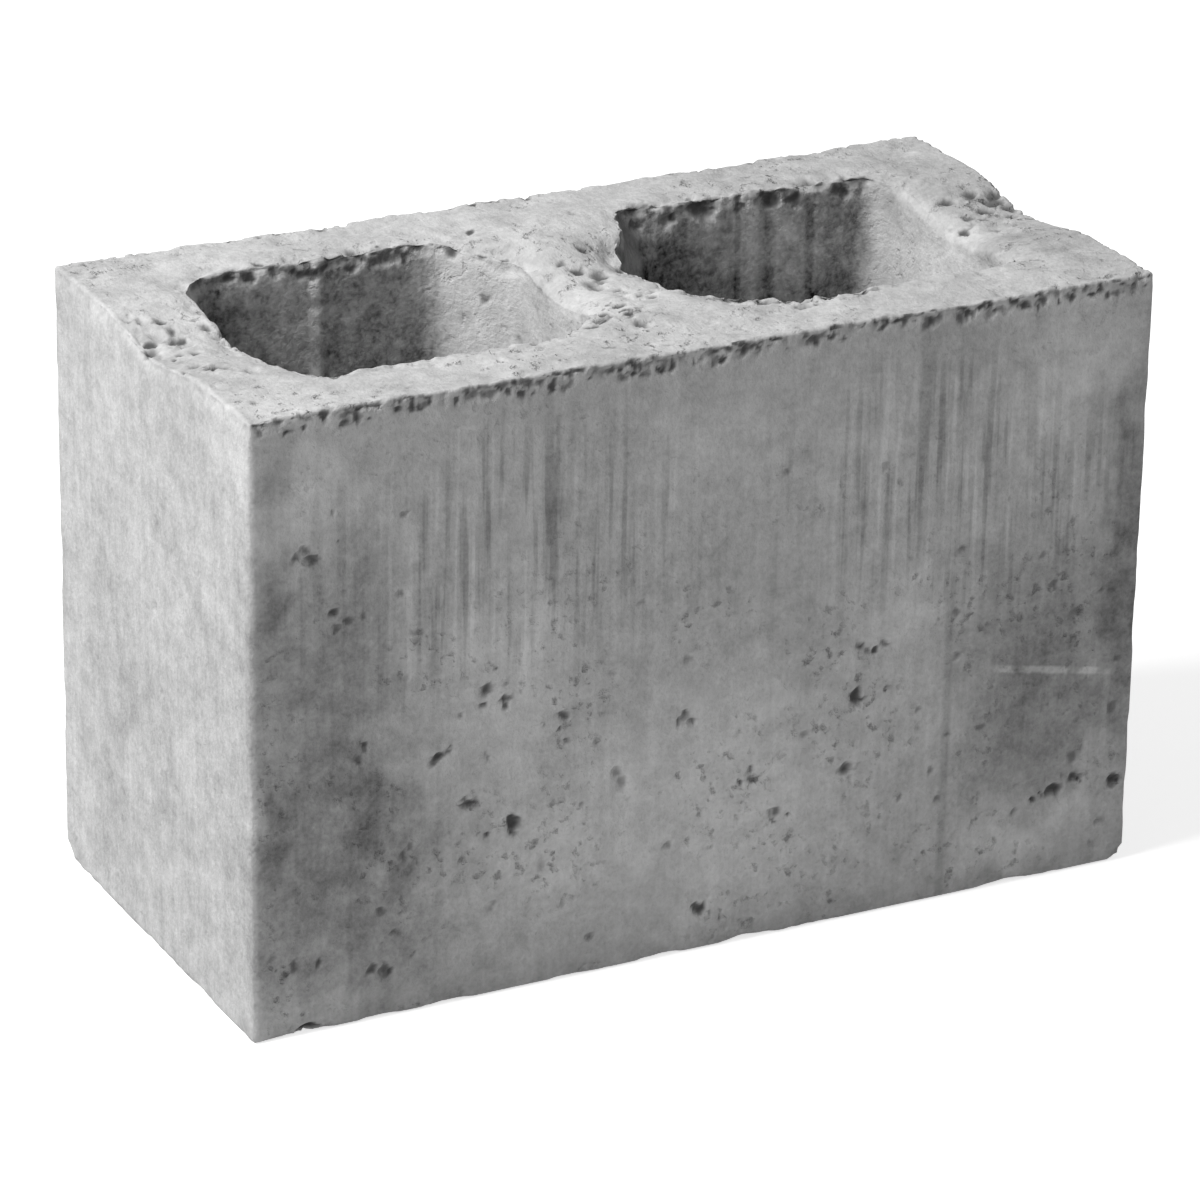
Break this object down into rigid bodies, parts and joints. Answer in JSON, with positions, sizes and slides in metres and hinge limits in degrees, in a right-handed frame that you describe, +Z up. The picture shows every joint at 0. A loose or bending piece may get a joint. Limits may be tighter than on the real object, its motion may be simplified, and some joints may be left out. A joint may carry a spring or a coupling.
{
  "type": "hollow concrete block",
  "caption": "Rectangular hollow concrete building block, open through its height in tapered cells split by a flared cross web, laid on its bed face in mortared walls.",
  "frame": {"origin": "middle of the bed face that the block stands on", "axes": "+X along the block, +Y from the front face to the back face, +Z up through the cells"},
  "size_m": [0.29, 0.14, 0.19],
  "materials": {
    "concrete": "rough"
  },
  "bodies": {
    "root": {"concrete_block": "concrete"}
  },
  "joints": []
}
